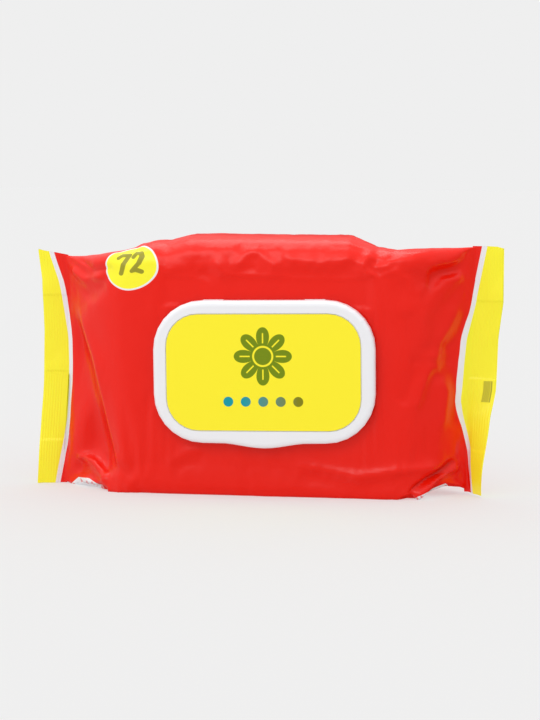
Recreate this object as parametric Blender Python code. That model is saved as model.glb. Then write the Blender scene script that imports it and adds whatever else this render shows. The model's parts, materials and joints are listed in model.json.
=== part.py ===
"""A pack of wet wipes: a sealed, gusseted flow-wrap pouch standing on its long side, with a moulded
flip-top lid glued to its front. Metres, +Z up. The pack's length runs along X, its front faces -Y, and the
origin is on the floor, half way between the ends and half way between the lid's face and the back seam."""

import math

import bmesh
import bpy
from mathutils import Matrix, Vector

MM = 0.001

# The pouch, in millimetres.
LENGTH = 226.0
SEAL_WIDTH = 14.0
HALF_DEPTH = 26.0
HEIGHT = 118.5
ROOF_RISE = 4.0
CORNER_RADIUS = 8.0
GUSSET_DEPTH = 25.0
SEAL_HALF_THICKNESS = 0.6
SEAL_FOOT = 1.5
SEAL_HEAD = 117.0
SEAM_LOW = 50.0
SEAM_HIGH = 62.0
SEAM_THICKNESS = 0.9
POUCH_Y = 4.05

# The lid set, in millimetres, in its own frame: X across, Y up the pack's face, Z out from the film.
LID_CENTRE_X = 1.5
LID_CENTRE_Z = 60.0
LID_TILT_DEG = 1.0
LID_WIDTH = 104.0
LID_HEIGHT = 66.8
LID_CORNER = 23.0
LID_TOP = 9.0
LID_WALL = 1.2
LID_SHOULDER = 2.4
TAB_WIDTH = 44.0
TAB_BULGE = 2.4
TAB_THICKNESS = 3.0
GAP = 0.3
FLANGE_TOP = 1.3
FLANGE_INSET = 0.9
OPENING_WIDTH = 78.0
OPENING_HEIGHT = 42.0
OPENING_CORNER = 20.0
COLLAR_WALL = 1.4
COLLAR_TOP = 5.4
PLUG_CLEARANCE = 0.5
PLUG_WALL = 1.0
PLUG_FOOT = 3.2
LABEL_WIDTH = 91.0
LABEL_HEIGHT = 54.4
LABEL_CORNER = 15.0
LABEL_THICKNESS = 0.25
RECESS_DEPTH = 0.6
HINGE_OUTSET = 0.2
HINGE_OUT = 1.4
HINGE_TONGUE_WIDTH = 9.4
HINGE_TONGUE_X = 23.9
CATCH_WIDTH = 16.0
SEAL_LABEL_WIDTH = 66.0
SEAL_LABEL_HEIGHT = 31.0
SEAL_LABEL_CORNER = 14.0

RED = (0.75, 0.012, 0.006, 1.0)
YELLOW = (0.95, 0.80, 0.04, 1.0)
WHITE = (0.82, 0.82, 0.84, 1.0)
SILVER = (0.70, 0.71, 0.73, 1.0)

BODY_END = LENGTH / 2 - SEAL_WIDTH
CORNER_STEPS = 3
PANEL_STEPS = 6
FOLD_STEPS = 2


def clear_scene():
    for obj in list(bpy.data.objects):
        bpy.data.objects.remove(obj)


def new_collection(name):
    collection = bpy.data.collections.new(name)
    bpy.context.scene.collection.children.link(collection)
    return collection


def material(name, colour, roughness):
    made = bpy.data.materials.new(name)
    made.use_nodes = True
    shader = made.node_tree.nodes["Principled BSDF"]
    shader.inputs["Base Color"].default_value = colour
    shader.inputs["Roughness"].default_value = roughness
    return made


def smooth_step(value):
    clamped = min(max(value, 0.0), 1.0)
    return clamped * clamped * (3.0 - 2.0 * clamped)


def between(low, high, share):
    return low + (high - low) * share


# ---- the pouch -------------------------------------------------------------------------------------


def end_share(x):
    """0 over the stack of wipes, 1 where the film meets the end seal."""
    slope_start = BODY_END - 29.0
    return min(max((abs(x) - slope_start) / (BODY_END - slope_start), 0.0), 1.0)


def half_depth(x):
    """Half the pouch's thickness: full over the stack, closing on a rounded slope to the end seal."""
    share = end_share(x)
    closing = 1.0 - share**2.2
    return between(SEAL_HALF_THICKNESS, HALF_DEPTH, closing)


def section(x, in_seal):
    """The pouch's outline at x, as (y, z) points: up the front, over the top, down the back and along the
    base. Towards the end seals the top and base fold inwards as V gussets."""
    share = end_share(x)
    depth = SEAL_HALF_THICKNESS if in_seal else half_depth(x)
    radius = min(CORNER_RADIUS, depth * 0.5)
    low = between(0.0, SEAL_FOOT, smooth_step(share))
    high = between(HEIGHT, SEAL_HEAD, smooth_step(share))
    gusset = 0.0 if in_seal else GUSSET_DEPTH * smooth_step(share)
    roof = ROOF_RISE * (1.0 - smooth_step((abs(x) - 38.0) / 26.0))

    def corner(centre_y, centre_z, start_deg):
        angles = [math.radians(start_deg - 90.0 * i / CORNER_STEPS) for i in range(CORNER_STEPS + 1)]
        return [(centre_y + radius * math.cos(a), centre_z + radius * math.sin(a)) for a in angles]

    def line(start, end, steps):
        return [
            (between(start[0], end[0], i / steps), between(start[1], end[1], i / steps))
            for i in range(1, steps)
        ]

    side = depth - radius
    front_foot = corner(-side, low + radius, 270.0)
    front_head = corner(-side, high - radius, 180.0)
    back_head = corner(side, high - radius, 90.0)
    back_foot = corner(side, low + radius, 0.0)
    top_fold = (0.0, high + roof - gusset)
    base_fold = (0.0, low + gusset)
    points = front_foot + line(front_foot[-1], front_head[0], PANEL_STEPS) + front_head
    points += line(front_head[-1], top_fold, FOLD_STEPS) + [top_fold]
    points += line(top_fold, back_head[0], FOLD_STEPS) + back_head
    points += line(back_head[-1], back_foot[0], PANEL_STEPS) + back_foot
    points += line(back_foot[-1], base_fold, FOLD_STEPS) + [base_fold]
    points += line(base_fold, front_foot[0], FOLD_STEPS)
    return points


def stations():
    """Where the outline is taken along X, with whether each is in the end seal."""
    slope_steps = 8
    slope_start = BODY_END - 29.0
    slope = [between(slope_start, BODY_END - 0.8, i / slope_steps) for i in range(slope_steps + 1)]
    half = [(0.0, False), (19.0, False), (38.0, False), (51.0, False), (62.0, False)]
    half += [(x, False) for x in slope] + [(BODY_END, True), (LENGTH / 2, True)]
    return [(-x, seal) for x, seal in reversed(half[1:])] + half


def loft(name, sections):
    """A closed solid through outlines that all have the same number of points."""
    around = len(sections[0][1])
    work = bmesh.new()
    # Blender's grid counts faces, and the last column is welded to the first one.
    bmesh.ops.create_grid(work, x_segments=len(sections) - 1, y_segments=around, size=1.0)
    work.verts.ensure_lookup_table()
    for vert in work.verts:
        along = round((vert.co.x + 1.0) / 2.0 * (len(sections) - 1))
        turn = round((vert.co.y + 1.0) / 2.0 * around) % around
        x, points = sections[along]
        y, z = points[turn]
        vert.co = Vector((x, y + POUCH_Y, z)) * MM
    bmesh.ops.remove_doubles(work, verts=work.verts, dist=0.00001)
    rims = [edge for edge in work.edges if edge.is_boundary]
    bmesh.ops.holes_fill(work, edges=rims, sides=0)
    bmesh.ops.recalc_face_normals(work, faces=work.faces)
    mesh = bpy.data.meshes.new(name)
    work.to_mesh(mesh)
    work.free()
    return bpy.data.objects.new(name, mesh)


def back_seam():
    """The long seam of the film tube: a flat fin that lies down the pouch's back, from seal to seal."""
    sections = []
    for x, in_seal in stations():
        depth = SEAL_HALF_THICKNESS if in_seal else half_depth(x)
        inner = depth - min(0.5 * depth, 1.5)
        outer = depth + SEAM_THICKNESS
        reach = x if abs(x) < LENGTH / 2 else math.copysign(LENGTH / 2 - 0.2, x)
        sections.append(
            (reach, [(inner, SEAM_LOW), (inner, SEAM_HIGH), (outer, SEAM_HIGH), (outer, SEAM_LOW)])
        )
    return loft("back_seam_strip", sections)


def build_pouch(parts, cutters):
    pouch = loft("film_pouch", [(x, section(x, in_seal)) for x, in_seal in stations()])
    parts.objects.link(pouch)
    seam = back_seam()
    as_cutter(seam, cutters)
    boolean(pouch, seam, "UNION")
    pouch.data.materials.append(material("film_red", RED, 0.35))
    return pouch


# ---- the lid set -----------------------------------------------------------------------------------


def rounded_outline(width, height, radius, bulge=0.0, arc_steps=7):
    """A rectangle with round corners, anticlockwise from its lower right corner. A bulge adds the thumb
    tab's shallow wave to the middle of the lower side."""
    points = []
    centre_x, centre_y = width / 2 - radius, height / 2 - radius
    for quarter, (sign_x, sign_y) in enumerate([(1, -1), (1, 1), (-1, 1), (-1, -1)]):
        for i in range(arc_steps + 1):
            angle = math.radians(-90.0 + 90.0 * quarter + 90.0 * i / arc_steps)
            points.append(
                (sign_x * centre_x + radius * math.cos(angle), sign_y * centre_y + radius * math.sin(angle))
            )
    if bulge > 0.0:
        tab_steps = 12
        for i in range(1, tab_steps):
            share = between(-1.0, 1.0, i / tab_steps)
            drop = bulge * (1.0 + math.cos(math.pi * share)) / 2.0
            points.append((share * TAB_WIDTH / 2, -height / 2 - drop))
    return points


def slab(name, outlines, low, high, top_round=0.0):
    """A flat plate from low to high, whose outlines are its edge and any holes. top_round rounds the outer
    edge of its upper face."""
    curve = bpy.data.curves.new(name, "CURVE")
    curve.dimensions = "2D"
    curve.fill_mode = "BOTH"
    curve.extrude = (high - low) / 2 * MM
    for outline in outlines:
        spline = curve.splines.new("POLY")
        spline.points.add(len(outline) - 1)
        for point, (x, y) in zip(spline.points, outline):
            point.co = (x * MM, y * MM, 0.0, 1.0)
        spline.use_cyclic_u = True
    guide = bpy.data.objects.new(name + "_curve", curve)
    bpy.context.scene.collection.objects.link(guide)
    graph = bpy.context.evaluated_depsgraph_get()
    mesh = bpy.data.meshes.new_from_object(guide.evaluated_get(graph))
    bpy.data.objects.remove(guide)
    mesh.transform(Matrix.Translation((0.0, 0.0, (low + high) / 2 * MM)))
    work = bmesh.new()
    work.from_mesh(mesh)
    bmesh.ops.remove_doubles(work, verts=work.verts, dist=0.000001)
    bmesh.ops.recalc_face_normals(work, faces=work.faces)
    if top_round > 0.0:
        top = high * MM - 0.000001
        rim = [
            edge
            for edge in work.edges
            if all(vert.co.z > top for vert in edge.verts) and edge.calc_face_angle(0.0) > 1.0
        ]
        bmesh.ops.bevel(
            work, geom=rim, offset=top_round * MM, segments=4, profile=0.5, affect="EDGES"
        )
    work.to_mesh(mesh)
    work.free()
    mesh.name = name
    return bpy.data.objects.new(name, mesh)


def box(name, low, high):
    """A block between two corners, given in millimetres."""
    work = bmesh.new()
    size = [(b - a) * MM for a, b in zip(low, high)]
    middle = [(a + b) / 2 * MM for a, b in zip(low, high)]
    bmesh.ops.create_cube(work, size=1.0, matrix=Matrix.Translation(middle) @ Matrix.Diagonal((*size, 1.0)))
    mesh = bpy.data.meshes.new(name)
    work.to_mesh(mesh)
    work.free()
    return bpy.data.objects.new(name, mesh)


def as_cutter(obj, cutters):
    cutters.objects.link(obj)
    obj.hide_render = True
    obj.display_type = "WIRE"
    return obj


def boolean(target, tool, operation):
    modifier = target.modifiers.new(f"{operation.lower()} {tool.name}", "BOOLEAN")
    modifier.operation = operation
    modifier.object = tool
    modifier.solver = "EXACT"


def build_frame(parts, cutters):
    """The moulded base glued to the film: a flange, the collar round the dispensing opening, two hinge
    tongues and the lid's catch."""
    edge = rounded_outline(
        LID_WIDTH - 2 * FLANGE_INSET, LID_HEIGHT - 2 * FLANGE_INSET, LID_CORNER - FLANGE_INSET
    )
    opening = rounded_outline(OPENING_WIDTH, OPENING_HEIGHT, OPENING_CORNER)
    wider = 2 * COLLAR_WALL
    collar_edge = rounded_outline(
        OPENING_WIDTH + wider, OPENING_HEIGHT + wider, OPENING_CORNER + COLLAR_WALL
    )
    frame = slab("lid_frame", [edge, opening], GAP, FLANGE_TOP)
    parts.objects.link(frame)
    step = 0.01
    inner = rounded_outline(
        OPENING_WIDTH + step, OPENING_HEIGHT + step, OPENING_CORNER + step / 2
    )
    collar = slab("collar", [collar_edge, inner], FLANGE_TOP - 0.4, COLLAR_TOP, top_round=0.35)
    boolean(frame, as_cutter(collar, cutters), "UNION")
    hinge_y = LID_HEIGHT / 2 + HINGE_OUTSET
    for side, sign in (("left", -1), ("right", 1)):
        middle = sign * HINGE_TONGUE_X
        half = HINGE_TONGUE_WIDTH / 2
        tongue = box(
            f"frame_tongue_{side}",
            (middle - half, LID_HEIGHT / 2 - 3.0, GAP + 0.1),
            (middle + half, hinge_y, FLANGE_TOP - 0.2),
        )
        boolean(frame, as_cutter(tongue, cutters), "UNION")
    catch_y = -LID_HEIGHT / 2 + LID_WALL + 1.0
    catch = box(
        "catch",
        (-CATCH_WIDTH / 2, catch_y, FLANGE_TOP - 0.4),
        (CATCH_WIDTH / 2, catch_y + 1.4, FLANGE_TOP + 2.4),
    )
    boolean(frame, as_cutter(catch, cutters), "UNION")
    return frame


def build_lid(parts, cutters):
    """The flip lid: a shallow cap with a rounded shoulder, a thumb tab, a recess for its label, a plug ring
    that enters the collar and two hinge tongues."""
    edge = rounded_outline(LID_WIDTH, LID_HEIGHT, LID_CORNER, bulge=TAB_BULGE)
    low = FLANGE_TOP + GAP
    lid = slab("flip_lid", [edge], low, LID_TOP, top_round=LID_SHOULDER)
    parts.objects.link(lid)
    inset = 2 * LID_WALL
    inside = rounded_outline(LID_WIDTH - inset, LID_HEIGHT - inset, LID_CORNER - LID_WALL)
    cavity = slab("lid_cavity", [inside], low - 2.0, LID_TOP - LID_WALL - RECESS_DEPTH)
    boolean(lid, as_cutter(cavity, cutters), "DIFFERENCE")
    under_tab = box(
        "under_tab",
        (-TAB_WIDTH / 2 - 4.0, -LID_HEIGHT / 2 - 6.0, low - 2.0),
        (TAB_WIDTH / 2 + 4.0, -LID_HEIGHT / 2 - 0.1, LID_TOP - TAB_THICKNESS),
    )
    boolean(lid, as_cutter(under_tab, cutters), "DIFFERENCE")
    grow = 0.8
    recess_edge = rounded_outline(LABEL_WIDTH + grow, LABEL_HEIGHT + grow, LABEL_CORNER + grow / 2)
    recess = slab("label_recess", [recess_edge], LID_TOP - RECESS_DEPTH, LID_TOP + 2.0)
    boolean(lid, as_cutter(recess, cutters), "DIFFERENCE")
    shrink = 2 * PLUG_CLEARANCE
    plug_edge = rounded_outline(
        OPENING_WIDTH - shrink, OPENING_HEIGHT - shrink, OPENING_CORNER - PLUG_CLEARANCE
    )
    shrink += 2 * PLUG_WALL
    plug_inside = rounded_outline(
        OPENING_WIDTH - shrink, OPENING_HEIGHT - shrink, OPENING_CORNER - PLUG_CLEARANCE - PLUG_WALL
    )
    plug = slab("plug_ring", [plug_edge, plug_inside], PLUG_FOOT, LID_TOP - LID_WALL - 0.3)
    boolean(lid, as_cutter(plug, cutters), "UNION")
    hinge_y = LID_HEIGHT / 2 + HINGE_OUTSET
    for side, sign in (("left", -1), ("right", 1)):
        middle = sign * HINGE_TONGUE_X
        half = HINGE_TONGUE_WIDTH / 2
        tongue = box(
            f"lid_tongue_{side}",
            (middle - half, LID_HEIGHT / 2 - 0.6, low + 0.1),
            (middle + half, hinge_y, low + 1.6),
        )
        boolean(lid, as_cutter(tongue, cutters), "UNION")
    return lid


def build_label(parts):
    """The printed label stuck in the lid's recess."""
    edge = rounded_outline(LABEL_WIDTH, LABEL_HEIGHT, LABEL_CORNER)
    low = LID_TOP - RECESS_DEPTH + GAP
    label = slab("lid_label", [edge], low, low + LABEL_THICKNESS)
    parts.objects.link(label)
    return label


def build_opening_seal(parts, cutters):
    """The peel-off sticker that closes the film under the lid until first use, with its pull tab."""
    edge = rounded_outline(SEAL_LABEL_WIDTH, SEAL_LABEL_HEIGHT, SEAL_LABEL_CORNER)
    low = GAP
    seal = slab("opening_seal", [edge], low, low + LABEL_THICKNESS)
    parts.objects.link(seal)
    tab_edge = rounded_outline(13.0, 9.0, 4.0)
    moved = [(x + SEAL_LABEL_WIDTH / 2 - 4.0, y) for x, y in tab_edge]
    tab = slab("pull_tab", [moved], low + 0.02, low + LABEL_THICKNESS + 0.02)
    boolean(seal, as_cutter(tab, cutters), "UNION")
    return seal


def build_lid_set(parts, cutters):
    """Places the lid's pieces on the film. The lid and its label hang from an empty on the hinge line."""
    mount = bpy.data.objects.new("lid_mount", None)
    parts.objects.link(mount)
    upright = Matrix.Rotation(math.radians(90.0), 4, "X")
    tilt = Matrix.Rotation(-math.radians(LID_TILT_DEG), 4, "Y")
    place = Matrix.Translation(Vector((LID_CENTRE_X, POUCH_Y - HALF_DEPTH, LID_CENTRE_Z)) * MM)
    mount.matrix_world = place @ tilt @ upright
    hinge = bpy.data.objects.new("lid_hinge", None)
    parts.objects.link(hinge)
    hinge.parent = mount
    hinge.location = (0.0, (LID_HEIGHT / 2 + HINGE_OUTSET) * MM, HINGE_OUT * MM)

    white = material("lid_white", WHITE, 0.4)
    frame = build_frame(parts, cutters)
    frame.data.materials.append(white)
    seal = build_opening_seal(parts, cutters)
    seal.data.materials.append(material("seal_film", SILVER, 0.3))
    lid = build_lid(parts, cutters)
    lid.data.materials.append(white)
    label = build_label(parts)
    label.data.materials.append(material("label_yellow", YELLOW, 0.4))
    for piece in (frame, seal):
        piece.parent = mount
    for piece in (lid, label):
        piece.parent = hinge
        piece.location = -hinge.location
    for tool in cutters.objects:
        tool.parent = mount if tool.name != "back_seam_strip" else None


def main():
    clear_scene()
    parts = new_collection("wet_wipes_pack")
    cutters = new_collection("cutters")
    build_pouch(parts, cutters)
    build_lid_set(parts, cutters)
    bpy.context.view_layer.update()


main()
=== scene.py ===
import json
import math
import bpy
import numpy as np
from mathutils import Matrix, Vector

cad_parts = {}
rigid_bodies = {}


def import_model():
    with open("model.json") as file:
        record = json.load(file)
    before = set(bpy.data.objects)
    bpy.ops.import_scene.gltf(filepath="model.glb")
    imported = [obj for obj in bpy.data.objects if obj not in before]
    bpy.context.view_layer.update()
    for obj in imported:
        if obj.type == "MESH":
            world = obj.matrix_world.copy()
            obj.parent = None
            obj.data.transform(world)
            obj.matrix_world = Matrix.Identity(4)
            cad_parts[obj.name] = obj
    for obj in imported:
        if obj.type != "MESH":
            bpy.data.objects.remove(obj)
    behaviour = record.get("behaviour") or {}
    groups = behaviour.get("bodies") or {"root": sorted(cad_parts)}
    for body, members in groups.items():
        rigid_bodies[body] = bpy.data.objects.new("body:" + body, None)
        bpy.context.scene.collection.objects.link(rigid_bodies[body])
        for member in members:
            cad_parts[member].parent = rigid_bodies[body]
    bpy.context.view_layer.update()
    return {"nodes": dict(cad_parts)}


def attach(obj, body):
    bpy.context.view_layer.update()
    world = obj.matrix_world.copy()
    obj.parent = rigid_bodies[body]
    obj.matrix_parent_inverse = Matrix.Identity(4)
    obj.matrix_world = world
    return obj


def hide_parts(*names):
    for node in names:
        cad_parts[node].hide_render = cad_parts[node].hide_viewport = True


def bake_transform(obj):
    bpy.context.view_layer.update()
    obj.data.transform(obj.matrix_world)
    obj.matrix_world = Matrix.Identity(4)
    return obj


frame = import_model()
scene = bpy.context.scene
scene.view_settings.view_transform = "Standard"

mm = 0.001


def smooth(value):
    clamped = np.clip(value, 0.0, 1.0)
    return clamped * clamped * (3.0 - 2.0 * clamped)


def mix(low, high, share):
    return low + (high - low) * share


def roundedDistance(x, z, halfWidth, halfHeight, radius):
    # how far a point is outside a rectangle with round corners, or inside it when negative
    overX, overZ = np.abs(x) - halfWidth + radius, np.abs(z) - halfHeight + radius
    outside = np.hypot(np.maximum(overX, 0.0), np.maximum(overZ, 0.0))
    return outside + np.minimum(np.maximum(overX, overZ), 0.0) - radius


def deselectAll():
    if bpy.context.object and bpy.context.object.mode != "OBJECT":
        bpy.ops.object.mode_set(mode="OBJECT")
    bpy.ops.object.select_all(action="DESELECT")


def makeActive(piece):
    deselectAll()
    piece.select_set(True)
    bpy.context.view_layer.objects.active = piece


def readPoints(piece):
    flat = np.zeros(len(piece.data.vertices) * 3)
    piece.data.vertices.foreach_get("co", flat)
    return flat.reshape(-1, 3)


def writePoints(piece, points):
    piece.data.vertices.foreach_set("co", points.ravel())
    piece.data.update()


def makeGrid(name, across, up):
    # a flat sheet from -1 to 1 both ways
    deselectAll()
    bpy.ops.mesh.primitive_grid_add(x_subdivisions=across, y_subdivisions=up, size=2.0)
    sheet = bpy.context.object
    sheet.name = name
    return sheet


def turnFacesOut(piece, weld=0.0):
    # points closer than weld, in metres, are joined first
    makeActive(piece)
    bpy.ops.object.mode_set(mode="EDIT")
    bpy.ops.mesh.select_all(action="SELECT")
    if weld:
        bpy.ops.mesh.remove_doubles(threshold=weld)
    bpy.ops.mesh.normals_make_consistent(inside=False)
    bpy.ops.object.mode_set(mode="OBJECT")


def dress(piece, finish):
    piece.data.materials.clear()
    piece.data.materials.append(finish)


camera = {
    "azimuth": 7.0,
    "elevation": 5.7,
    "distance": 0.87,
    "roll": 0.4,
    "lens": 120.0,
    "aim": (0.0005, 0.004, 0.0625),
}


def addCamera():
    turn, lift = math.radians(camera["azimuth"]), math.radians(camera["elevation"])
    aim = Vector(camera["aim"])
    away = Vector((math.sin(turn) * math.cos(lift), -math.cos(turn) * math.cos(lift), math.sin(lift)))
    data = bpy.data.cameras.new("camera")
    data.sensor_fit = "HORIZONTAL"
    data.sensor_width = 36.0
    data.lens = camera["lens"]
    data.clip_end = 30.0
    eye = bpy.data.objects.new("camera", data)
    scene.collection.objects.link(eye)
    facing = away.to_track_quat("Z", "Y").to_matrix().to_4x4()
    roll = Matrix.Rotation(math.radians(camera["roll"]), 4, "Z")
    eye.matrix_world = Matrix.Translation(aim + away * camera["distance"]) @ facing @ roll
    scene.camera = eye


lights = {
    "front": ((-0.3, -1.25, 0.9), (0.7, 0.6), 3.6),
    "top": ((-0.1, 0.1, 1.0), (0.8, 0.6), 4.6),
}
studio = {
    "backdrop": (0.863, 0.863, 0.863),
    "glow": 1.0,  # how strongly the surroundings light the pack
    "ahead": 0.0,  # how bright they look in its gloss, from the front and from above
    "above": 1.1,
    "leftward": 0.8,
    "upward": (0.05, 0.85),  # the heights between which the gloss turns from dark to bright
    "leftEdge": -0.75,
    "floor": (0.46, 0.46, 0.46),
    "floorGlow": 0.545,
    "roughness": 0.9,
}


def addLights():
    # the lamps light the pack alone, so that the floor keeps one tone up to the backdrop
    lit = bpy.data.collections.new("litByLamps")
    scene.collection.children.link(lit)
    for name, (place, size, power) in lights.items():
        data = bpy.data.lights.new(name, "AREA")
        data.shape = "RECTANGLE"
        data.size, data.size_y = size
        data.energy = power
        lamp = bpy.data.objects.new(name, data)
        scene.collection.objects.link(lamp)
        lamp.light_linking.receiver_collection = lit
        toward = Vector(place) - Vector(camera["aim"])
        lamp.matrix_world = Matrix.Translation(place) @ toward.to_track_quat("Z", "Y").to_matrix().to_4x4()
    sky = bpy.data.worlds.new("studio")
    sky.use_nodes = True
    nodes, links = sky.node_tree.nodes, sky.node_tree.links
    seen = nodes["Background"]
    seen.inputs["Color"].default_value = (*studio["backdrop"], 1.0)
    seen.inputs["Strength"].default_value = 1.0
    lighting = nodes.new("ShaderNodeBackground")
    lighting.inputs["Color"].default_value = (*studio["backdrop"], 1.0)
    lighting.inputs["Strength"].default_value = studio["glow"]
    # glossy surfaces see a dark room in front of the pack and soft boxes above it and to its left
    coords = nodes.new("ShaderNodeTexCoord")
    split = nodes.new("ShaderNodeSeparateXYZ")
    links.new(coords.outputs["Generated"], split.inputs[0])
    height = nodes.new("ShaderNodeMapRange")
    height.interpolation_type = "SMOOTHSTEP"
    height.inputs["From Min"].default_value = studio["upward"][0]
    height.inputs["From Max"].default_value = studio["upward"][1]
    height.inputs["To Min"].default_value = studio["ahead"]
    height.inputs["To Max"].default_value = studio["above"]
    links.new(split.outputs[2], height.inputs["Value"])
    leftward = nodes.new("ShaderNodeMapRange")
    leftward.interpolation_type = "SMOOTHSTEP"
    leftward.inputs["From Min"].default_value = 0.0
    leftward.inputs["From Max"].default_value = studio["leftEdge"]
    leftward.inputs["To Max"].default_value = studio["leftward"]
    links.new(split.outputs[0], leftward.inputs["Value"])
    both = nodes.new("ShaderNodeMath")
    links.new(height.outputs[0], both.inputs[0])
    links.new(leftward.outputs[0], both.inputs[1])
    mirrored = nodes.new("ShaderNodeBackground")
    mirrored.inputs["Color"].default_value = (*studio["backdrop"], 1.0)
    links.new(both.outputs[0], mirrored.inputs["Strength"])
    path = nodes.new("ShaderNodeLightPath")
    glossy = nodes.new("ShaderNodeMixShader")
    links.new(path.outputs["Is Glossy Ray"], glossy.inputs[0])
    links.new(lighting.outputs[0], glossy.inputs[1])
    links.new(mirrored.outputs[0], glossy.inputs[2])
    blend = nodes.new("ShaderNodeMixShader")
    links.new(path.outputs["Is Camera Ray"], blend.inputs[0])
    links.new(glossy.outputs[0], blend.inputs[1])
    links.new(seen.outputs[0], blend.inputs[2])
    links.new(blend.outputs[0], nodes["World Output"].inputs["Surface"])
    scene.world = sky


def addFloor():
    deselectAll()
    bpy.ops.mesh.primitive_plane_add(size=60.0, location=(0.0, 0.0, 0.0))
    ground = bpy.context.object
    ground.name = "floor"
    paint = bpy.data.materials.new("floorPaint")
    paint.use_nodes = True
    shader = paint.node_tree.nodes["Principled BSDF"]
    shader.inputs["Base Color"].default_value = (*studio["floor"], 1.0)
    shader.inputs["Roughness"].default_value = studio["roughness"]
    shader.inputs["Specular IOR Level"].default_value = 0.0
    shader.inputs["Emission Color"].default_value = (*studio["backdrop"], 1.0)
    shader.inputs["Emission Strength"].default_value = studio["floorGlow"]
    ground.data.materials.append(paint)
    ground.visible_glossy = False


addCamera()
addLights()
addFloor()
print("camera, lights and floor are in")

film = {
    "middleY": 4.05,
    "halfDepth": 25.6,
    "height": 119.6,
    "corner": 8.0,
    "seamHeight": 56.0,
    "gusset": 24.0,  # how far the tucks go in at each end
    "straight": 62.0,
    "narrowing": 70.0,
    "closedDepth": 0.3,
    "roof": 3.0,
    "lidMiddle": (1.5, 60.0),
    "pinned": (49.0, 30.5, 20.0),  # half width, half height and corner of the part that the lid set holds
    "lidSet": (52.0, 33.4, 23.0),
    "sealStart": 108.2,
    "sealEnd": 122.2,
    "sealFoot": (0.4, 1.2),
    "sealHead": (114.6, 118.2),
    "stepsAlong": 112,
    "stepsAround": 148,
    "simFrames": 24,
    "stackSize": (134.0, 49.0, 120.0),
    "leftLean": ([0.0, 8.0, 63.0, 88.0, 104.0, 120.0], [-1.0, -1.0, 13.0, 20.0, 10.0, -8.0]),
    "rightLean": ([0.0, 8.0, 65.0, 88.0, 104.0, 120.0], [3.0, 4.0, 12.0, 14.0, 8.0, -6.0]),
    "backSlack": 24.0,
}
sealShape = {
    "width": 14.0,
    "leftEdge": ([0.0, 25.0, 50.0, 75.0, 100.0, 118.0], [-114.6, -112.9, -111.3, -110.9, -111.9, -114.2]),
    "rightEdge": (
        [0.0, 15.0, 38.0, 50.0, 62.0, 75.0, 92.0, 118.0],
        [109.8, 108.6, 107.6, 109.2, 109.5, 109.8, 111.9, 111.7],
    ),
    "rightCurl": 58.0,
    "rightCurlHeight": 64.0,
    "leftCurl": 24.0,
    "leftCurlHeight": 40.0,
}


def sealXY(side, inward, z):
    # where a point of an end seal is, inward millimetres from its cut edge and z up
    heights, edges = sealShape["leftEdge"] if side < 0 else sealShape["rightEdge"]
    edge = np.interp(z, heights, edges)
    width = sealShape["width"]
    # the lower part of a seal is bent forwards round its inner edge
    name = "left" if side < 0 else "right"
    curl = np.radians(sealShape[name + "Curl"]) * smooth(1.0 - z / sealShape[name + "CurlHeight"])
    outward = np.maximum(width - inward, 0.0)
    past = np.minimum(width - inward, 0.0)
    angle = curl * smooth(outward / 6.0 + 0.15)
    return edge - side * (width - past) + side * outward * np.cos(angle), -outward * np.sin(angle)


def sectionKeys(depth, high, low, gusset, roof):
    # points (y, z) round the tube, from the back seam over the top, down the front and back underneath
    radius = min(film["corner"], depth * 0.5)
    side = depth - radius

    def corner(y, z, start):
        turns = [math.radians(start + 30.0 * i) for i in range(4)]
        return [(y + radius * math.cos(a), z + radius * math.sin(a)) for a in turns]

    seam = [(depth, film["seamHeight"])]
    keys = seam + corner(side, high - radius, 0.0)
    keys += [(0.0, high + roof - gusset)] + corner(-side, high - radius, 90.0)
    keys += corner(-side, low + radius, 180.0) + [(0.0, low + gusset)]
    keys += corner(side, low + radius, 270.0) + seam
    return np.array(keys)


def tubeShares():
    keys = sectionKeys(film["halfDepth"], film["height"], 0.0, 0.0, 0.0)
    return np.concatenate([[0.0], np.cumsum(np.linalg.norm(np.diff(keys, axis=0), axis=1))])


def foldedTube(u, v):
    # the pack's rough shape for each point of the film: u along the pack, v round it, in millimetres
    shares = tubeShares()
    straight, sealStart, narrowing = film["straight"], film["sealStart"], film["narrowing"]
    out = np.zeros((len(u), 3))
    for value in np.unique(u):
        pick = u == value
        size = abs(value)
        side, end = (-1.0, 0) if value < 0 else (1.0, 1)
        inSeal = size >= sealStart - 0.01
        closing = np.clip((size - straight) / (sealStart - straight), 0.0, 1.0)
        slope = np.clip((size - narrowing) / (sealStart - narrowing), 0.0, 1.0)
        depth = mix(film["closedDepth"], film["halfDepth"], 1.0 - slope**1.8)
        high = mix(film["height"], film["sealHead"][end], smooth(slope))
        low = mix(0.0, film["sealFoot"][end], smooth(slope))
        roof = film["roof"] * (1.0 - smooth((size - 38.0) / 26.0))
        keys = sectionKeys(depth, high, low, 0.96 * film["gusset"] * smooth(closing), roof)
        if inSeal:
            keys[:, 0] = np.sign(keys[:, 0]) * 0.2
        y = np.interp(v[pick], shares, keys[:, 0])
        z = np.interp(v[pick], shares, keys[:, 1])
        if inSeal:
            x, shift = sealXY(side, np.full(len(z), film["sealEnd"] - size), z)
            y = y + shift
        else:
            inner = sealXY(side, np.full(len(z), sealShape["width"]), z)[0]
            x = side * min(size, straight) + (inner - side * straight) * closing
        out[pick] = np.stack([x, y, z], axis=1)
    return out


def straightTube(u, v):
    shares = tubeShares()
    keys = sectionKeys(film["halfDepth"], film["height"], 0.0, 0.0, 0.0)
    return np.stack([u, np.interp(v, shares, keys[:, 0]), np.interp(v, shares, keys[:, 1])], axis=1)


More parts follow.
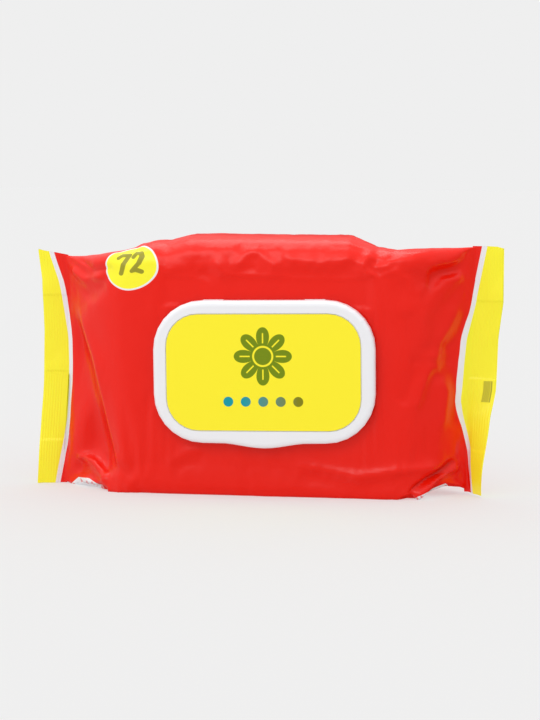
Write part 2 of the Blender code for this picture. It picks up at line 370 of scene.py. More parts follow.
def makeStack():
    # the stack of wipes inside the film, which only the simulation needs
    size = film["stackSize"]
    deselectAll()
    bpy.ops.mesh.primitive_cube_add(size=1.0, location=(0.0, 0.0, (size[2] / 2 + 0.8) * mm))
    stack = bpy.context.object
    stack.name = "wipesStack"
    stack.scale = [side * mm for side in size]
    bpy.ops.object.transform_apply(location=True, rotation=False, scale=True)
    rounding = stack.modifiers.new("rounding", "BEVEL")
    rounding.width = 10.0 * mm
    rounding.segments = 5
    bpy.ops.object.modifier_apply(modifier="rounding")
    stack.data.remesh_voxel_size = 3.0 * mm
    bpy.ops.object.voxel_remesh()
    points = readPoints(stack) / mm
    x, y, z = points.T
    front = smooth((6.0 - y) / 24.0)
    # the film's front leans out over the wipes' ends, more so higher up, and its back corners are slack
    lean = np.where(x < 0, np.interp(z, *film["leftLean"]), np.interp(z, *film["rightLean"]))
    slack = film["backSlack"] * smooth((z - 70.0) / 45.0)
    points[:, 0] = x + (x / (size[0] / 2)) * (front * lean - (1.0 - front) * slack)
    # the stack is thinner towards its ends
    past = np.abs(points[:, 0]) - 66.0
    points[:, 1] = y * np.where(past > 0.0, 1.0 - 0.32 * smooth(past / 24.0), 1.0)
    writePoints(stack, points * mm)
    stack.modifiers.new("collision", "COLLISION")
    stack.collision.thickness_outer = 0.0005
    stack.collision.cloth_friction = 5.0
    return stack


def layFilm():
    around = tubeShares()[-1]
    sheet = makeGrid("filmPouch", film["stepsAlong"], film["stepsAround"])
    grid = readPoints(sheet)
    u = np.round(grid[:, 0] * film["sealEnd"], 3)
    v = (grid[:, 1] + 1.0) / 2.0 * around
    corners = np.zeros(len(sheet.data.loops), dtype=int)
    sheet.data.loops.foreach_get("vertex_index", corners)
    sheet.data.uv_layers[0].data.foreach_set("uv", (np.stack([u, v], axis=1)[corners] * mm).ravel())
    for name, values in (("alongFilm", u), ("roundFilm", v)):
        sheet.data.attributes.new(name, "FLOAT", "POINT").data.foreach_set("value", values)
    writePoints(sheet, foldedTube(u, v) * mm)
    turnFacesOut(sheet)
    # the sheet's two long edges meet in the back seam
    for items in (sheet.data.edges, sheet.data.polygons):
        items.foreach_set("select", np.zeros(len(items), dtype=bool))
    sheet.data.vertices.foreach_set("select", (v < 0.01) | (v > around - 0.01))
    bpy.ops.object.mode_set(mode="EDIT")
    bpy.ops.mesh.select_mode(type="VERT")
    bpy.ops.mesh.remove_doubles(threshold=0.00001)
    bpy.ops.object.mode_set(mode="OBJECT")
    return sheet


def readValues(piece, name):
    values = np.zeros(len(piece.data.vertices))
    piece.data.attributes[name].data.foreach_get("value", values)
    return values


clothValues = {
    "quality": 7,
    "mass": 0.05,
    "tension_stiffness": 40.0,
    "compression_stiffness": 40.0,
    "shear_stiffness": 20.0,
    "bending_stiffness": 0.5,
    "tension_damping": 10.0,
    "compression_damping": 10.0,
    "shear_damping": 10.0,
    "bending_damping": 0.5,
    "air_damping": 3.0,
    "vertex_group_mass": "pins",
    "use_pressure": True,
    "uniform_pressure_force": 0.6,
}


def settleFilm(sheet):
    u, v = readValues(sheet, "alongFilm"), readValues(sheet, "roundFilm")
    start = readPoints(sheet) / mm
    makeActive(sheet)
    sheet.shape_key_add(name="folded")
    rest = sheet.shape_key_add(name="straight")
    rest.data.foreach_set("co", (straightTube(u, v) * mm).ravel())
    seal = np.abs(u) >= film["sealStart"] - 0.01
    lidX, lidZ = film["lidMiddle"]
    fromLid = roundedDistance(start[:, 0] - lidX, start[:, 2] - lidZ, *film["pinned"])
    underLid = (fromLid < 0.0) & (start[:, 1] < -20.0)
    base = (start[:, 2] < 0.2) & (np.abs(start[:, 0]) < 60.0)
    pins = sheet.vertex_groups.new(name="pins")
    pins.add([int(i) for i in np.nonzero(seal | underLid | base)[0]], 1.0, "REPLACE")
    stack = makeStack()
    cloth = sheet.modifiers.new("cloth", "CLOTH")
    for name, value in clothValues.items():
        setattr(cloth.settings, name, value)
    cloth.settings.rest_shape_key = sheet.data.shape_keys.key_blocks["straight"]
    cloth.settings.effector_weights.gravity = 0.0
    cloth.collision_settings.use_self_collision = False
    cloth.collision_settings.distance_min = 0.0008
    cloth.point_cache.frame_start = 1
    cloth.point_cache.frame_end = film["simFrames"]
    for step in range(1, film["simFrames"] + 1):
        scene.frame_set(step)
    settled = readPoints(sheet.evaluated_get(bpy.context.evaluated_depsgraph_get()))
    sheet.modifiers.remove(cloth)
    sheet.shape_key_clear()
    sheet.vertex_groups.clear()
    writePoints(sheet, settled)
    bpy.data.objects.remove(stack)
    scene.frame_set(1)


printed = {
    "stripe": 2.5,
    # how wide the end bands are at some heights
    "leftBand": (
        [0.0, 6.0, 20.0, 32.0, 59.0, 71.0, 95.0, 118.0],
        [9.0, 9.7, 11.6, 12.6, 12.7, 12.1, 9.2, 4.9],
    ),
    "rightBand": (
        [0.0, 8.0, 22.0, 45.0, 62.0, 75.0, 95.0, 118.0],
        [7.5, 8.5, 9.8, 16.2, 16.0, 15.2, 12.5, 8.0],
    ),
    "roundelMiddle": (-64.7, 109.8),
    "roundelRadius": 13.0,
    "roundelRim": 0.8,
    "roundelSqueeze": 0.85,
    "panelHeight": 86.0,
    "panel": (44.0, 17.0, 4.0),  # half width, half height and corner of the white panel on the back
    "markHeight": 49.5,
    "markHalf": 5.0,
    "markBars": [(4.4, 1.7, 0.62), (2.2, 0.35, 0.8)],  # inward, half width, strength
    "red": (0.875, 0.009, 0.0006),
    "yellow": (1.0, 0.93, 0.028),
    "white": (0.86, 0.85, 0.88),
    "olive": (0.34, 0.31, 0.020),
    "roughness": 0.31,
}


farAway = 9.0  # edge distances where a print can't be
outOfRange = 40.0


def bandDistance(side, inward, z):
    # how far a point is from the yellow end band, towards the middle of the pack
    left = inward - np.interp(z, *printed["leftBand"])
    right = inward - np.interp(z, *printed["rightBand"])
    return np.where(side < 0, left, right)


def frontTop():
    # the distance round the film at which the front panel starts, just below the tenth section point
    return tubeShares()[9]


def storeValues(piece, name, values):
    found = piece.data.attributes.get(name) or piece.data.attributes.new(name, "FLOAT", "POINT")
    found.data.foreach_set("value", np.asarray(values, dtype=np.float32))


def printFilm(sheet):
    u, v = readValues(sheet, "alongFilm"), readValues(sheet, "roundFilm")
    flat = straightTube(u, v)
    y, z = flat[:, 1], flat[:, 2]
    # the end bands keep the height that each line of the film has in its seal
    atSeal = foldedTube(np.sign(u + 0.001) * film["sealStart"], v)[:, 2]
    storeValues(sheet, "bandEdge", bandDistance(u, film["sealEnd"] - np.abs(u), atSeal))
    panel = roundedDistance(u, z - printed["panelHeight"], *printed["panel"])
    storeValues(sheet, "panelEdge", np.where(y > 20.0, panel, farAway))
    # the roundel is measured on the flat film, so that it bends over the pack's edge
    middle, high = printed["roundelMiddle"]
    up = frontTop() + (film["height"] - film["corner"] - high) - v
    across = np.clip((u - middle) * printed["roundelSqueeze"], -outOfRange, outOfRange)
    storeValues(sheet, "roundelX", np.where(np.abs(up) < outOfRange, across, outOfRange))
    storeValues(sheet, "roundelZ", np.clip(up, -outOfRange, outOfRange))


# folds and creases in the film's front, in millimetres from the middle of the pack and up from the floor
creases = {
    # name: (points along it, half width, how proud it stands, depth and side of the hollow beside it)
    "leftDiagonal": ([(-91.0, 88.0), (-80.6, 63.0), (-73.0, 32.0), (-66.4, 8.0)], 4.6, 1.4, 1.9, 1),
    "leftPocket": ([(-93.0, 15.0), (-83.0, 12.5), (-75.0, 7.5)], 2.2, 1.8, 0.9, 1),
    "leftPocketLow": ([(-94.0, 6.5), (-84.0, 5.5), (-75.0, 7.5)], 1.4, 0.4, 1.7, 1),
    "leftShoulder": ([(-97.0, 108.0), (-88.0, 101.0), (-76.0, 104.0)], 2.6, 0.8, 0.5, 1),
    "leftShoulderHigh": ([(-92.0, 114.0), (-83.0, 107.0), (-71.0, 110.5)], 2.0, -0.7, 0.0, 1),
    "diamondLeft": ([(-4.8, 117.5), (-10.0, 112.0), (-14.0, 108.0)], 2.0, 0.3, 0.2, 1),
    "diamondRight": ([(-4.8, 117.5), (1.5, 112.0), (7.0, 108.5)], 2.0, 0.3, 0.2, -1),
    "topStreak": ([(-24.0, 112.0), (-12.0, 97.5)], 2.8, 0.5, 0.3, 1),
    "topRipple": ([(8.0, 113.0), (26.0, 110.5), (44.0, 113.5)], 2.6, 0.35, 0.3, 1),
    "topPeak": ([(50.5, 119.0), (47.0, 112.0), (52.0, 104.0)], 1.9, 0.55, 0.5, -1),
    "cornerFold": ([(94.0, 113.5), (86.0, 111.5), (76.0, 110.5)], 2.2, 0.5, 0.6, -1),
    "cornerFoldLow": ([(93.0, 104.0), (84.5, 103.0), (80.0, 97.0)], 1.9, 0.6, 0.5, 1),
    "starUp": ([(79.8, 65.0), (84.0, 77.0), (90.6, 90.0)], 3.2, 0.7, 0.8, 1),
    "starUpLeft": ([(79.8, 65.0), (76.5, 76.0), (74.0, 90.0)], 3.0, 0.45, 0.6, -1),
    "starDownLeft": ([(79.8, 65.0), (75.0, 55.0), (71.5, 43.0)], 2.6, 0.6, 0.6, 1),
    "starDown": ([(79.8, 65.0), (86.0, 50.0), (84.0, 32.0)], 3.0, 0.7, 0.9, -1),
    "lowRidge": ([(16.0, 16.0), (45.8, 11.3), (64.7, 14.2), (91.0, 15.0)], 2.6, 0.85, 0.7, 1),
    "lowStreak": ([(-45.0, 15.0), (-36.0, 20.0), (-28.0, 22.0)], 2.3, 0.4, 0.3, 1),
    "leftHem": ([(-94.0, 3.0), (-87.0, 5.6), (-79.0, 6.4), (-72.0, 3.2), (-66.0, 1.0)], 1.1, 0.7, 0.9, 1),
    "foldEdge": ([(93.0, 15.0), (82.0, 7.5), (70.5, 0.3)], 1.3, 1.3, 1.8, 1),
    "sealSide": ([(96.0, 27.0), (96.3, 15.0), (96.0, 4.0)], 1.3, 0.8, 0.6, 1),
}
creased = {
    "strength": 1.9,
    "end": 97.5,  # the creases stop before the end seals
    "floor": 0.02,
    "frontEdge": 2.6,  # how far the base's front edge is drawn out
    "frontEdgeDrop": 1.6,
    "behindFoot": 0.34,  # how far the film under the lid set lies in front of its own flat face
    "sweptFrom": 80.0,
    "spare": 3.0,
    "grooveX": -99.6,
    "grooveHalf": 1.4,
    "grooveDepth": 1.3,
}
# how far the film drops below its settled height along the top, and rises or drops along the bottom
topDrop = (
    [-114.0, -106.0, -98.0, -76.0, -71.0, -65.0, -59.0, -53.0, -46.0, -36.0]
    + [40.0, 46.0, 53.0, 60.0, 67.0, 78.0, 108.5, 113.0],
    [0.3, 1.7, 3.2, 3.4, 3.3, 2.4, 1.6, 1.6, 2.7, 0.0, 0.0, 2.0, 3.8, 2.6, 1.3, 0.0, 0.0, 1.7],
)
bottomLift = (
    [-99.0, -96.0, -90.0, -80.0, -72.0, -64.0, -58.0, 66.0, 72.0, 79.0, 86.0, 93.0, 98.0],
    [0.0, -1.6, -3.8, -5.4, -4.6, -1.6, 0.0, 0.0, 0.5, 1.8, 3.2, 2.0, 0.0],
)
# the height below which the film shows the pale print of the pack's underside
hem = (
    [-99.0, -96.5, -92.5, -86.0, -79.0, -74.0, 68.0, 73.0, 80.0, 86.5, 90.0, 99.0],
    [-9.0, 0.5, 4.0, 4.6, 2.0, -5.0, -5.0, 1.4, 4.6, 6.4, -1.0, -9.0],
)
dents = [  # x, z, radius, depth
    (-4.8, 110.5, 6.0, 0.45),
    (-4.8, 100.0, 4.0, -0.4),
    (-86.0, 95.0, 6.0, 0.5),
    (82.0, 58.0, 3.5, 0.8),
    (86.0, 72.0, 3.5, 0.7),
    (77.0, 71.0, 3.0, 0.5),
    (-78.0, 12.0, 4.0, 0.8),
    (66.0, 100.0, 7.0, 0.6),
    (-30.0, 106.0, 9.0, 0.35),
    (30.0, 12.0, 9.0, 0.4),
]


def topFall(x, z):
    return np.interp(x, *topDrop) * smooth((z - 96.0) / 22.0)


def awayFromPath(x, z, path):
    # signed distance from a bent line, and how far along it the nearest point is
    best = np.full(len(x), 1e9)
    signed, along = np.zeros(len(x)), np.zeros(len(x))
    lengths = [math.dist(a, b) for a, b in zip(path, path[1:])]
    gone = 0.0
    for (start, finish), length in zip(zip(path, path[1:]), lengths):
        dx, dz = (finish[0] - start[0]) / length, (finish[1] - start[1]) / length
        reach = np.clip((x - start[0]) * dx + (z - start[1]) * dz, 0.0, length)
        offX, offZ = x - start[0] - reach * dx, z - start[1] - reach * dz
        far = np.hypot(offX, offZ)
        nearer = far < best
        best = np.where(nearer, far, best)
        signed = np.where(nearer, far * np.sign(offZ * dx - offX * dz), signed)
        along = np.where(nearer, (gone + reach) / sum(lengths), along)
        gone += length
    return signed, along


def creaseFilm(sheet):
    points = readPoints(sheet) / mm
    normals = np.zeros(len(points) * 3)
    sheet.data.vertex_normals.foreach_get("vector", normals)
    normals = normals.reshape(-1, 3)
    x, y, z = points.T
    front = smooth((film["middleY"] - 0.6 - y) / 5.0)
    inside = smooth((creased["end"] - np.abs(x)) / 4.0)
    lidX, lidZ = film["lidMiddle"]
    fromLid = roundedDistance(x - lidX, z - lidZ, *film["lidSet"])
    move = np.zeros(len(points))
    for path, width, proud, hollow, side in creases.values():
        signed, along = awayFromPath(x, z, path)
        ends = smooth(along / 0.18 + 0.25) * smooth((1.0 - along) / 0.18 + 0.25)
        ridge = proud * np.exp(-np.abs(signed / width) ** 1.5)
        trough = hollow * np.exp(-(((signed + side * 2.1 * width) / (1.5 * width)) ** 2))
        move += (ridge - trough) * ends
    for cx, cz, radius, depth in dents:
        move -= depth * np.exp(-((x - cx) ** 2 + (z - cz) ** 2) / radius**2)
    points += normals * (creased["strength"] * move * front * inside * smooth(fromLid / 2.0))[:, None]
    points[:, 2] -= topFall(x, z)
    # the front edge of the base is fairly sharp, and lifts off the floor near the seals
    low = smooth((14.0 - z) / 14.0)
    edge = low * smooth((-4.0 - y) / 12.0) * smooth((92.0 - np.abs(x)) / 20.0)
    points[:, 1] -= creased["frontEdge"] * edge
    points[:, 2] += np.interp(x, *bottomLift) * low - creased["frontEdgeDrop"] * edge
    points[:, 2] = np.maximum(points[:, 2], creased["floor"])
    # flat and just behind the lid set's foot and the peel seal
    foot = film["middleY"] - film["halfDepth"] - creased["behindFoot"]
    points[:, 1] = np.where((fromLid < -0.5) & (y < 0.0), np.maximum(points[:, 1], foot), points[:, 1])
    # the open lid's edge swings down to just above this part
    spare = np.maximum(smooth((z - 102.5) / 6.0), smooth((np.abs(x - lidX) - 46.0) / 14.0))
    spare = creased["spare"] * np.maximum(spare, smooth((92.0 - z) / 8.0))
    swept = (points[:, 2] > creased["sweptFrom"]) & (y < 0.0)
    points[:, 1] = np.where(swept, np.maximum(points[:, 1], foot - spare), points[:, 1])
    # beside the lower half of the left seal the film sinks into a narrow groove
    groove = np.exp(-(((x - creased["grooveX"]) / creased["grooveHalf"]) ** 2))
    groove = groove * smooth((54.5 - z) / 1.5) * smooth((z - 12.0) / 8.0)
    points[:, 1] += creased["grooveDepth"] * groove
    writePoints(sheet, points * mm)
    # the pale print of the underside, with short strokes of print on it
    nearBase = (z < 20.0) & (y < 12.0)
    under = np.interp(x, *hem) - points[:, 2]
    storeValues(sheet, "baseEdge", np.where(nearBase, -under, farAway))
    stroke = smooth((np.sin((x + 0.8 * points[:, 2]) * 1.9) - 0.35) / 0.3)
    stroke = stroke * smooth((under - 0.9) / 0.3) * smooth((2.6 - under) / 0.3)
    storeValues(sheet, "dashes", stroke * nearBase)


filmPouch = layFilm()
settleFilm(filmPouch)
printFilm(filmPouch)
filmPoints = readPoints(filmPouch)
filmPoints[:, 1] += film["middleY"] * mm
writePoints(filmPouch, filmPoints)
makeActive(filmPouch)
finer = filmPouch.modifiers.new("finer", "SUBSURF")
finer.levels = finer.render_levels = 1
bpy.ops.object.modifier_apply(modifier="finer")
creaseFilm(filmPouch)
bpy.ops.object.shade_smooth()
print("film settled, printed and creased")


def newGroup(name, inputs, outputs):
    group = bpy.data.node_groups.new(name, "ShaderNodeTree")
    for label, kind, value in inputs:
        socket = group.interface.new_socket(name=label, in_out="INPUT", socket_type=kind)
        if value is not None:
            socket.default_value = value
    for label, kind in outputs:
        group.interface.new_socket(name=label, in_out="OUTPUT", socket_type=kind)
    start, end = group.nodes.new("NodeGroupInput"), group.nodes.new("NodeGroupOutput")
    start.location, end.location = (-900, 0), (900, 0)
    return group, start, end


def fill(tree, socket, value):
    # sets a socket to a value, or links another socket to it
    if isinstance(value, bpy.types.NodeSocket):
        tree.links.new(value, socket)
    elif socket.type == "RGBA":
        socket.default_value = (*value, 1.0)
    else:
        socket.default_value = value


def joinMath(tree, operation, *values, clamp=False):
    node = tree.nodes.new("ShaderNodeMath")
    node.operation = operation
    node.use_clamp = clamp
    for socket, value in zip(node.inputs, values):
        fill(tree, socket, value)
    return node.outputs[0]


def multiply(tree, first, second):
    return joinMath(tree, "MULTIPLY", first, second)


def farFrom(tree, value, middle):
    return joinMath(tree, "ABSOLUTE", joinMath(tree, "SUBTRACT", value, middle))


def farFromPoint(tree, x, z):
    squares = joinMath(tree, "ADD", multiply(tree, x, x), multiply(tree, z, z))
    return joinMath(tree, "SQRT", squares)


def joinVector(tree, operation, *values):
    node = tree.nodes.new("ShaderNodeVectorMath")
    node.operation = operation
    for socket, value in zip(node.inputs, values):
        fill(tree, socket, value)
    return node.outputs["Value" if operation in ("DOT_PRODUCT", "LENGTH") else "Vector"]


def mixColour(tree, factor, under, over, blend="MIX"):
    node = tree.nodes.new("ShaderNodeMix")
    node.data_type = "RGBA"
    node.blend_type = blend
    for index, value in ((0, factor), (6, under), (7, over)):
        fill(tree, node.inputs[index], value)
    return node.outputs[2]


def attributeValue(tree, name):
    node = tree.nodes.new("ShaderNodeAttribute")
    node.attribute_name = name
    return node.outputs["Fac"]


def insideMask(tree, distance, edge, blur=0.12):
    # 1 where distance is below edge, with a soft step of blur millimetres
    node = tree.nodes.new("ShaderNodeMapRange")
    node.interpolation_type = "SMOOTHSTEP"
    tree.links.new(distance, node.inputs["Value"])
    node.inputs["From Min"].default_value = edge - blur
    node.inputs["From Max"].default_value = edge + blur
    node.inputs["To Min"].default_value = 1.0
    node.inputs["To Max"].default_value = 0.0
    return node.outputs[0]


def strokeGroup():
    # ink left by a brush that goes from Start to End, both on the flat print, in millimetres
    inputs = [(name, "NodeSocketVector", None) for name in ("Place", "Start", "End")]
    inputs.append(("Width", "NodeSocketFloat", 1.0))
    group, start, end = newGroup("brushStroke", inputs, [("Ink", "NodeSocketFloat")])
    along = joinVector(group, "SUBTRACT", start.outputs["End"], start.outputs["Start"])
    place = joinVector(group, "SUBTRACT", start.outputs["Place"], start.outputs["Start"])
    reach = joinVector(group, "DOT_PRODUCT", place, along)
    full = joinVector(group, "DOT_PRODUCT", along, along)
    scale = group.nodes.new("ShaderNodeVectorMath")
    scale.operation = "SCALE"
    group.links.new(along, scale.inputs[0])
    group.links.new(joinMath(group, "DIVIDE", reach, full, clamp=True), scale.inputs["Scale"])
    off = joinVector(group, "LENGTH", joinVector(group, "SUBTRACT", place, scale.outputs[0]))
    over = joinMath(group, "SUBTRACT", off, start.outputs["Width"])
    group.links.new(insideMask(group, over, 0.0, 0.10), end.inputs["Ink"])
    return group


brushStroke = strokeGroup()


def grainGroup():
    # the film's fine unevenness, as a height for bump and a change of gloss
    outputs = [("Height", "NodeSocketFloat"), ("Gloss", "NodeSocketFloat")]
    group, start, end = newGroup("filmGrain", [("Amount", "NodeSocketFloat", 1.0)], outputs)
    coords = group.nodes.new("ShaderNodeTexCoord")
    heights = []
    for scale, weight in ((90.0, 0.55), (420.0, 0.12), (1700.0, 0.035)):
        noise = group.nodes.new("ShaderNodeTexNoise")
        noise.inputs["Scale"].default_value = scale
        noise.inputs["Detail"].default_value = 3.0
        group.links.new(coords.outputs["Object"], noise.inputs["Vector"])
        heights.append(multiply(group, noise.outputs["Fac"], weight))
    total = joinMath(group, "ADD", joinMath(group, "ADD", heights[0], heights[1]), heights[2])
    group.links.new(multiply(group, total, start.outputs["Amount"]), end.inputs["Height"])
    cloud = group.nodes.new("ShaderNodeTexNoise")
    cloud.inputs["Scale"].default_value = 45.0
    cloud.inputs["Detail"].default_value = 4.0
    group.links.new(coords.outputs["Object"], cloud.inputs["Vector"])
    group.links.new(cloud.outputs["Fac"], end.inputs["Gloss"])
    return group


filmGrain = grainGroup()


def newMaterial(name):
    made = bpy.data.materials.new(name)
    made.use_nodes = True
    return made, made.node_tree, made.node_tree.nodes["Principled BSDF"]


def addGrain(tree, shader, amount, distance, roughness, spread):
    grain = tree.nodes.new("ShaderNodeGroup")
    grain.node_tree = filmGrain
    grain.inputs["Amount"].default_value = amount
    bump = tree.nodes.new("ShaderNodeBump")
    bump.inputs["Strength"].default_value = 1.0
    bump.inputs["Distance"].default_value = distance
    tree.links.new(grain.outputs["Height"], bump.inputs["Height"])
    tree.links.new(bump.outputs["Normal"], shader.inputs["Normal"])
    gloss = tree.nodes.new("ShaderNodeMapRange")
    gloss.inputs["To Min"].default_value = roughness - spread
    gloss.inputs["To Max"].default_value = roughness + spread
    tree.links.new(grain.outputs["Gloss"], gloss.inputs["Value"])
    tree.links.new(gloss.outputs[0], shader.inputs["Roughness"])
    return grain


def shadeUnevenly(tree, shader, grain, colour, low):
    # the colour, down to low times as bright in places
    tint = tree.nodes.new("ShaderNodeMapRange")
    tint.inputs["To Min"].default_value = low
    tint.inputs["To Max"].default_value = 1.0
    tree.links.new(grain.outputs["Gloss"], tint.inputs["Value"])
    shade = mixColour(tree, 1.0, colour, tint.outputs[0], "MULTIPLY")
    tree.links.new(shade, shader.inputs["Base Color"])


# brush strokes of the roundel's two digits: start, end, half width
digits = [
    ((-5.1, 5.2), (-3.0, 6.5), 1.02),
    ((-3.0, 6.5), (0.5, 6.1), 1.16),
    ((0.5, 6.1), (-2.5, 1.3), 1.16),
    ((-2.5, 1.3), (-3.7, -3.8), 1.29),
    ((2.4, 4.7), (3.8, 6.6), 1.02),
    ((3.8, 6.6), (5.7, 6.5), 1.09),
    ((5.7, 6.5), (6.2, 4.5), 1.16),
    ((6.2, 4.5), (4.9, 1.2), 1.16),
    ((4.9, 1.2), (1.9, -2.8), 1.09),
    ((1.9, -2.8), (3.8, -2.4), 1.02),
    ((3.8, -2.4), (5.9, -3.3), 1.16),
]


def printRoundel(tree, colour):
    place = tree.nodes.new("ShaderNodeCombineXYZ")
    tree.links.new(attributeValue(tree, "roundelX"), place.inputs[0])
    tree.links.new(attributeValue(tree, "roundelZ"), place.inputs[1])
    far = joinVector(tree, "LENGTH", place.outputs[0])
    radius = printed["roundelRadius"]
    colour = mixColour(tree, insideMask(tree, far, radius), colour, printed["white"])
    disc = insideMask(tree, far, radius - printed["roundelRim"])
    colour = mixColour(tree, disc, colour, printed["yellow"])
    ink = 0.0
    for begin, finish, width in digits:
        stroke = tree.nodes.new("ShaderNodeGroup")
        stroke.node_tree = brushStroke
        tree.links.new(place.outputs[0], stroke.inputs["Place"])
        stroke.inputs["Start"].default_value = (*begin, 0.0)
        stroke.inputs["End"].default_value = (*finish, 0.0)
        stroke.inputs["Width"].default_value = width
        ink = joinMath(tree, "MAXIMUM", ink, stroke.outputs["Ink"])
    return mixColour(tree, ink, colour, printed["olive"])


def printMark(tree, colour):
    # the printer's register mark on one seal
    coords = tree.nodes.new("ShaderNodeTexCoord")
    split = tree.nodes.new("ShaderNodeSeparateXYZ")
    tree.links.new(coords.outputs["Object"], split.inputs[0])
    fromMark = farFrom(tree, joinMath(tree, "DIVIDE", split.outputs[2], mm), printed["markHeight"])
    near = attributeValue(tree, "markEdge")
    for inward, half, strength in printed["markBars"]:
        beside = insideMask(tree, farFrom(tree, near, inward), half)
        bar = multiply(tree, insideMask(tree, fromMark, printed["markHalf"]), beside)
        colour = mixColour(tree, multiply(tree, bar, strength), colour, printed["olive"])
    return colour


def printedFilm(name, onPouch):
    made, tree, shader = newMaterial(name)
    grain = addGrain(tree, shader, 1.0 if onPouch else 0.15, 0.0006, printed["roughness"], 0.05)
    band = attributeValue(tree, "bandEdge")
    stripe = insideMask(tree, band, printed["stripe"])
    colour = mixColour(tree, stripe, printed["red"], printed["white"])
    if onPouch:
        base = insideMask(tree, attributeValue(tree, "baseEdge"), 0.0)
        colour = mixColour(tree, base, colour, printed["white"])
        colour = mixColour(tree, attributeValue(tree, "dashes"), colour, printed["red"])
        panel = insideMask(tree, attributeValue(tree, "panelEdge"), 0.0)
        colour = mixColour(tree, panel, colour, printed["white"])
        colour = printRoundel(tree, colour)
    colour = mixColour(tree, insideMask(tree, band, 0.0), colour, printed["yellow"])
    if not onPouch:
        colour = printMark(tree, colour)
    shadeUnevenly(tree, shader, grain, colour, 0.97)
    shader.inputs["Specular IOR Level"].default_value = 0.36
    return made


dress(filmPouch, printedFilm("printedFilm", True))
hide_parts("film_pouch")
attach(filmPouch, "pack")

# the fin seam down the pack's back
seam = {
    "low": 50.5,
    "high": 62.0,
    "end": 94.3,
    "stepsAlong": 150,
    "stepsUp": 16,
    "off": 0.35,
    "thickness": 0.3,
    "ridgePitch": 1.5,
    "ridgeDepth": 0.07,
    "edgeLift": 0.45,
    "printLength": 99.0,
}


def makeBackSeam():
    strip = makeGrid("backSeam", seam["stepsAlong"], seam["stepsUp"])
    grid = readPoints(strip)
    x = grid[:, 0] * seam["end"]
    share = (grid[:, 1] + 1.0) / 2.0
    high = seam["high"] + 0.35 * np.sin(x * 0.13) + 0.2 * np.sin(x * 0.41 + 1.0)
    behind = np.full(len(x), 60.0)
    writePoints(strip, np.stack([x, behind, mix(seam["low"], high, share)], axis=1) * mm)
    wrap = strip.modifiers.new("wrap", "SHRINKWRAP")
    wrap.wrap_method = "PROJECT"
    wrap.use_project_y = True
    wrap.use_negative_direction = True
    wrap.use_positive_direction = False
    wrap.target = filmPouch
    wrap.offset = seam["off"] * mm
    bpy.ops.object.modifier_apply(modifier="wrap")
    points = readPoints(strip) / mm
    # the free edge lifts a little, and the sealing bars leave fine ridges
    ridges = seam["ridgeDepth"] * np.sin(2.0 * np.pi * points[:, 2] / seam["ridgePitch"])
    points[:, 1] += seam["edgeLift"] * share**3 * (1.0 + 0.5 * np.sin(x * 0.21)) + ridges
    writePoints(strip, points * mm)
    storeValues(strip, "markEdge", np.full(len(x), outOfRange))
    inward = film["sealEnd"] - np.abs(x) * film["sealStart"] / seam["printLength"]
    storeValues(strip, "bandEdge", bandDistance(x, inward, points[:, 2]))
    wall = strip.modifiers.new("wall", "SOLIDIFY")
    wall.thickness = seam["thickness"] * mm
    wall.offset = 0.0
    bpy.ops.object.modifier_apply(modifier="wall")
    turnFacesOut(strip)
    bpy.ops.object.shade_smooth_by_angle(angle=math.radians(40.0))
    dress(strip, sealPrint)
    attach(strip, "pack")


sealPrint = printedFilm("printedSeal", False)
makeBackSeam()
print("pouch printed, back seam laid")

# the crimped end seals
crimp = {
    "pitch": 1.3,
    "depth": 0.08,
    "outside": 0.5,
    "stepsAcross": 100,
    "stepsUp": 230,
    "stripGap": 2.7,  # how far the left seal's lower half stops short of the stripe
    # how clearly the ridges show at some heights
    "fade": ([0.0, 20.0, 50.0, 60.0, 80.0, 92.0, 118.0], [0.5, 1.0, 1.0, 0.4, 0.7, 0.5, 1.0]),
}


def filmLayers(side, z):
    # from 0 with two layers of film to 1 with four, at the tucked ends and beside the back seam's fold
    if side < 0:
        folded = smooth((z - 55.0) / 0.5) * smooth((67.0 - z) / 9.0)
    else:
        folded = smooth((56.0 - z) / 0.5) * smooth((z - 42.0) / 9.0)
    return np.minimum(smooth((z - 92.2) / 0.6) + smooth((21.8 - z) / 0.6) + folded, 1.0)


